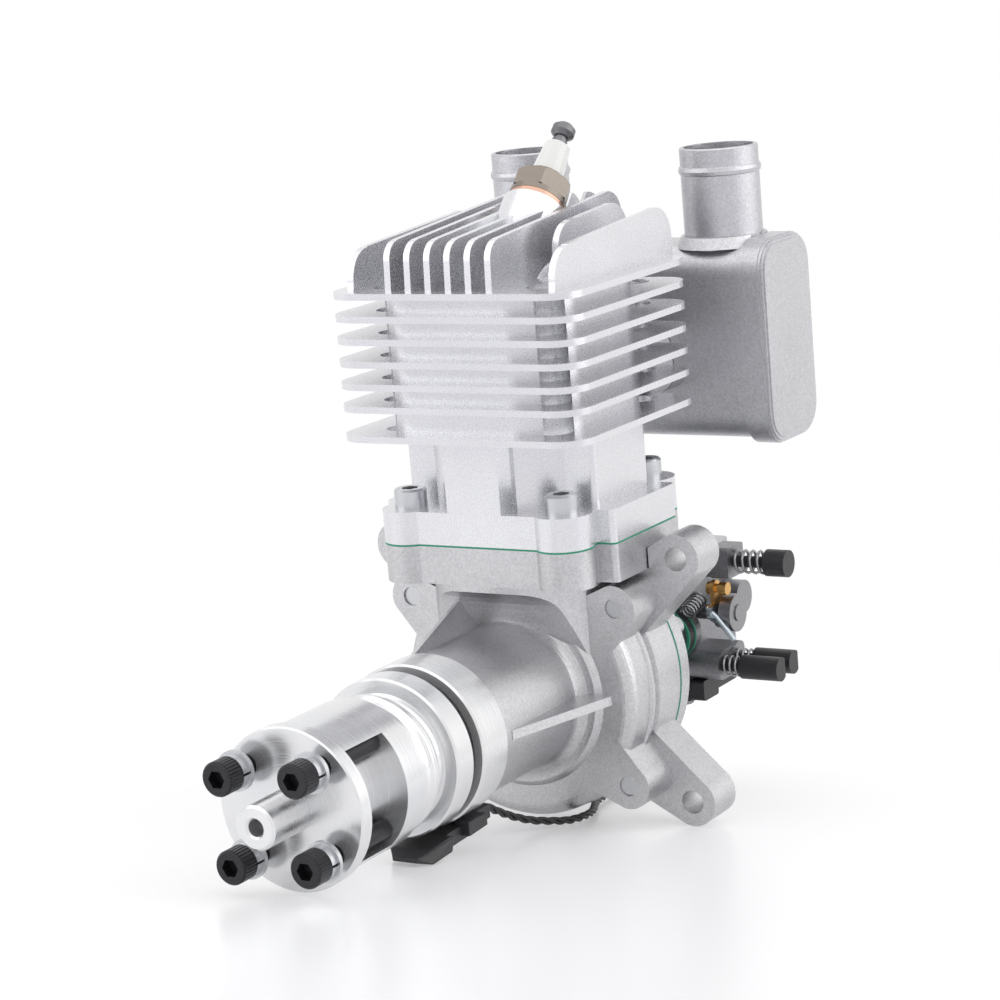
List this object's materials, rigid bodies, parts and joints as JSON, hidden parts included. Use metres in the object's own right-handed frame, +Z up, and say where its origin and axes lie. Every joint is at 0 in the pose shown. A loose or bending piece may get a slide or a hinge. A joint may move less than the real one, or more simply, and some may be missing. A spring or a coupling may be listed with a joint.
{
  "type": "model aircraft engine",
  "caption": "Single-cylinder two-stroke model aircraft engine with finned cylinder, windowed propeller hub, rear carburettor, twin-outlet box muffler, mounting legs and ignition sensor lead",
  "frame": {"origin": "On the crank axis, in the plane of the propeller hub's front face, at the root of the centring boss", "axes": "-Y points forward out of the propeller hub along the crank axis, +Z up along the cylinder axis, +X to the right when the engine is seen from the front"},
  "size_m": [0.0974, 0.2114, 0.1891],
  "materials": {
    "cast_case": "satin cast and blasted",
    "cast_cylinder": "satin cast",
    "bright_aluminium": "turned, bright",
    "piston_alloy": "machined",
    "blasted_muffler": "bead blasted",
    "outlet_tube": "satin, drawn",
    "black_steel": "black oxide",
    "zinc_steel": "bright zinc plated",
    "hard_steel": "ground",
    "nickel": "nickel plated",
    "copper_ring": "plated copper",
    "ceramic": null,
    "green_gasket": "fibre sheet",
    "graphite_gasket": "graphite sheet",
    "black_plastic": "moulded",
    "phenolic": "pressed phenolic",
    "seal_rubber": "moulded",
    "lead_sheath": "soft sheath",
    "carb_casting": "die cast",
    "carb_cover": "moulded",
    "magnet_alloy": "plated"
  },
  "bodies": {
    "engine": {"front_crankcase": "cast_case", "rear_crankcase": "cast_case", "crankcase_screws": "zinc_steel", "rear_cover": "cast_case", "rear_cover_gasket": "green_gasket", "rear_cover_screws": "zinc_steel", "cylinder": "cast_cylinder", "cylinder_base_gasket": "green_gasket", "cylinder_base_screws": "zinc_steel", "spark_plug_shell": "nickel", "spark_plug_gasket": "copper_ring", "spark_plug_insulator": "ceramic", "spark_plug_terminal": "hard_steel", "exhaust_gasket": "graphite_gasket", "exhaust_screws": "zinc_steel", "muffler_body": "blasted_muffler", "muffler_cap_left": "blasted_muffler", "muffler_cap_right": "blasted_muffler", "exhaust_outlets": "outlet_tube", "front_bearing_outer": "hard_steel", "rear_bearing_outer": "hard_steel", "front_oil_seal": "seal_rubber", "sensor_ring": "bright_aluminium", "hall_sensor": "black_plastic", "sensor_lead": "lead_sheath", "sensor_plug": "black_plastic", "reed_block": "black_plastic", "reed_petals": "hard_steel", "intake_gaskets": "green_gasket", "insulator_block": "phenolic", "carb_body": "carb_casting", "pump_cover": "carb_casting", "metering_cover": "carb_cover", "carb_screws": "zinc_steel", "throttle_spring": "zinc_steel", "screw_springs": "zinc_steel"},
    "crank": {"crankshaft": "hard_steel", "prop_hub": "bright_aluminium", "prop_screws": "black_steel", "prop_washers": "zinc_steel", "hub_bolt": "bright_aluminium", "hub_magnet": "magnet_alloy", "front_bearing_inner": "hard_steel", "rear_bearing_inner": "hard_steel"},
    "front_cage": {"front_ball_cage": "hard_steel"},
    "rear_cage": {"rear_ball_cage": "hard_steel"},
    "big_end": {"big_end_bearing": "hard_steel"},
    "piston_and_rod": {"piston": "piston_alloy", "piston_rings": "hard_steel", "wrist_pin": "hard_steel", "wrist_pin_clips": "black_steel", "connecting_rod": "hard_steel", "small_end_bearing": "hard_steel", "crankpin": "hard_steel"},
    "throttle": {"throttle_shaft": "zinc_steel", "throttle_lever": "zinc_steel"},
    "choke": {"choke_shaft": "zinc_steel"},
    "high_needle": {"high_speed_needle": "black_plastic"},
    "low_needle": {"low_speed_needle": "black_plastic"},
    "idle_adjuster": {"idle_screw": "black_plastic"}
  },
  "joints": [
    {"name": "crank_turn", "type": "hinge", "parent": "engine", "child": "crank", "pos_m": [0, 0.1177, 0], "axis": [0, 1, 0], "continuous": true},
    {"name": "front_cage_turn", "type": "hinge", "parent": "engine", "child": "front_cage", "pos_m": [0, 0.1177, 0], "axis": [0, 1, 0], "continuous": true},
    {"name": "rear_cage_turn", "type": "hinge", "parent": "engine", "child": "rear_cage", "pos_m": [0, 0.1177, 0], "axis": [0, 1, 0], "continuous": true},
    {"name": "big_end_turn", "type": "hinge", "parent": "crank", "child": "big_end", "pos_m": [0, 0.1177, -0.0075], "axis": [0, 1, 0], "continuous": true},
    {"name": "piston_stroke", "type": "hinge", "parent": "big_end", "child": "piston_and_rod", "pos_m": [0, 0.1177, -0.015], "axis": [0, 1, 0], "continuous": true},
    {"name": "throttle_turn", "type": "hinge", "parent": "engine", "child": "throttle", "pos_m": [0, 0.1707, 0.006], "axis": [1, 0, 0], "range_deg": [-75, 0], "stiffness_Nm_per_rad": 0.01, "springref_deg": 17.19},
    {"name": "choke_turn", "type": "hinge", "parent": "engine", "child": "choke", "pos_m": [0, 0.1877, 0.006], "axis": [1, 0, 0], "range_deg": [-75, 0]},
    {"name": "high_needle_turn", "type": "hinge", "parent": "engine", "child": "high_needle", "pos_m": [0, 0.1658, -0.0078], "axis": [1, 0, 0], "range_deg": [-540, 360]},
    {"name": "low_needle_turn", "type": "hinge", "parent": "engine", "child": "low_needle", "pos_m": [0, 0.1738, -0.0078], "axis": [1, 0, 0], "range_deg": [-540, 360]},
    {"name": "idle_screw_turn", "type": "hinge", "parent": "engine", "child": "idle_adjuster", "pos_m": [0, 0.1697, 0.0208], "axis": [1, 0, 0], "range_deg": [-540, 720]}
  ],
  "couplings": [
    {"joint": "front_cage_turn", "follows": "crank_turn", "ratio": 0.381},
    {"joint": "rear_cage_turn", "follows": "crank_turn", "ratio": 0.38},
    {"joint": "big_end_turn", "follows": "crank_turn", "ratio": -2},
    {"joint": "piston_stroke", "follows": "crank_turn", "ratio": 1}
  ]
}
